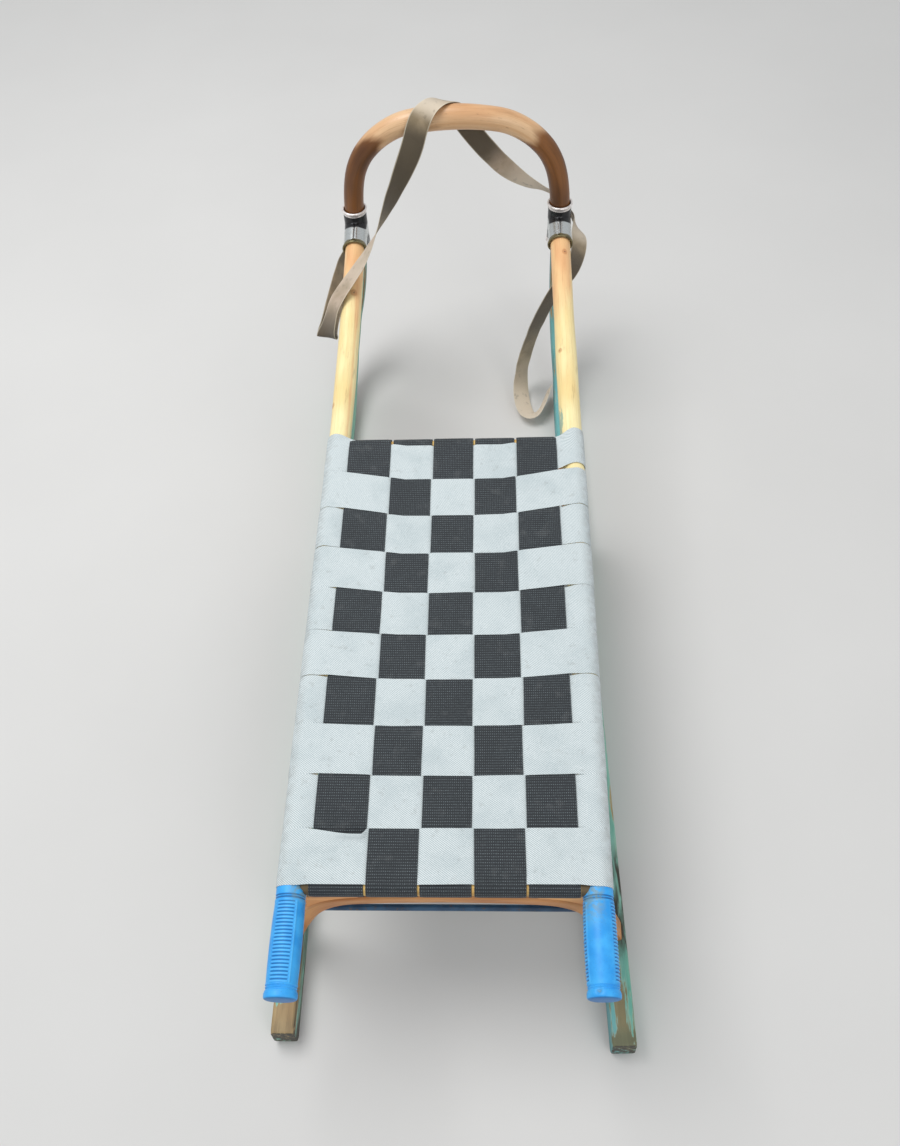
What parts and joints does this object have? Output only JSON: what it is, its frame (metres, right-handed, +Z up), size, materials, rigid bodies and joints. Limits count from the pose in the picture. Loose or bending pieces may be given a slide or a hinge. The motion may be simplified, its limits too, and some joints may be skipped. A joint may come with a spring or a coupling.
{
  "type": "wooden pull sled",
  "caption": "Wooden pull sled: round side rails, woven webbing seat, bent front bow held by tube sleeves, arched legs on curved runners, hand grips at the back and a webbing pull strap",
  "frame": {"origin": "middle of the footprint, on the ground under the runner shoes", "axes": "+Z up, +Y forward to the bow, +X to the rider's right"},
  "size_m": [0.3983, 1.1064, 0.4421],
  "materials": {
    "wood_pale": "debarked pole, thin worn varnish, knots and grain along its length",
    "wood_bent": "steam-bent wood, orange-brown varnish, darker handled patches and small knots",
    "wood_painted": "mint-teal paint worn through to bare wood on the upper edges and ends",
    "steel_plated": "pressed steel, plating dulled and darkened, bright rolled rims",
    "steel_worn": "flat strip, scratched along its length, light rust at the edges",
    "steel_blue": "blue enamel",
    "webbing_light": "pale blue-grey synthetic webbing, herringbone weave, faint dirt",
    "webbing_black": "black synthetic webbing with fine cross ribs",
    "webbing_khaki": "khaki cotton webbing, plain weave",
    "grip_rubber": "blue moulded grip, ribbed, faded patches"
  },
  "bodies": {
    "root": {"runner_left": "wood_painted", "runner_shoe_left": "steel_worn", "seat_rail_left": "wood_pale", "sleeve_left": "steel_plated", "grip_left": "grip_rubber", "runner_right": "wood_painted", "runner_shoe_right": "steel_worn", "seat_rail_right": "wood_pale", "sleeve_right": "steel_plated", "grip_right": "grip_rubber", "front_bow": "wood_bent", "crossbar_rear": "wood_pale", "rear_arch": "wood_bent", "brace_rod_rear": "steel_blue", "arch_block_rear_left": "wood_bent", "arch_block_rear_right": "wood_bent", "crossbar_front": "wood_pale", "front_arch": "wood_bent", "brace_rod_front": "steel_blue", "arch_block_front_left": "wood_bent", "arch_block_front_right": "wood_bent", "long_strap_1": "webbing_black", "long_strap_2": "webbing_black", "long_strap_3": "webbing_black", "long_strap_4": "webbing_black", "long_strap_5": "webbing_black", "cross_strap_1": "webbing_light", "cross_strap_2": "webbing_light", "cross_strap_3": "webbing_light", "cross_strap_4": "webbing_light", "cross_strap_5": "webbing_light", "cross_strap_6": "webbing_light", "cross_strap_7": "webbing_light", "cross_strap_8": "webbing_light", "cross_strap_9": "webbing_light", "cross_strap_10": "webbing_light", "pull_strap": "webbing_khaki"}
  },
  "joints": []
}
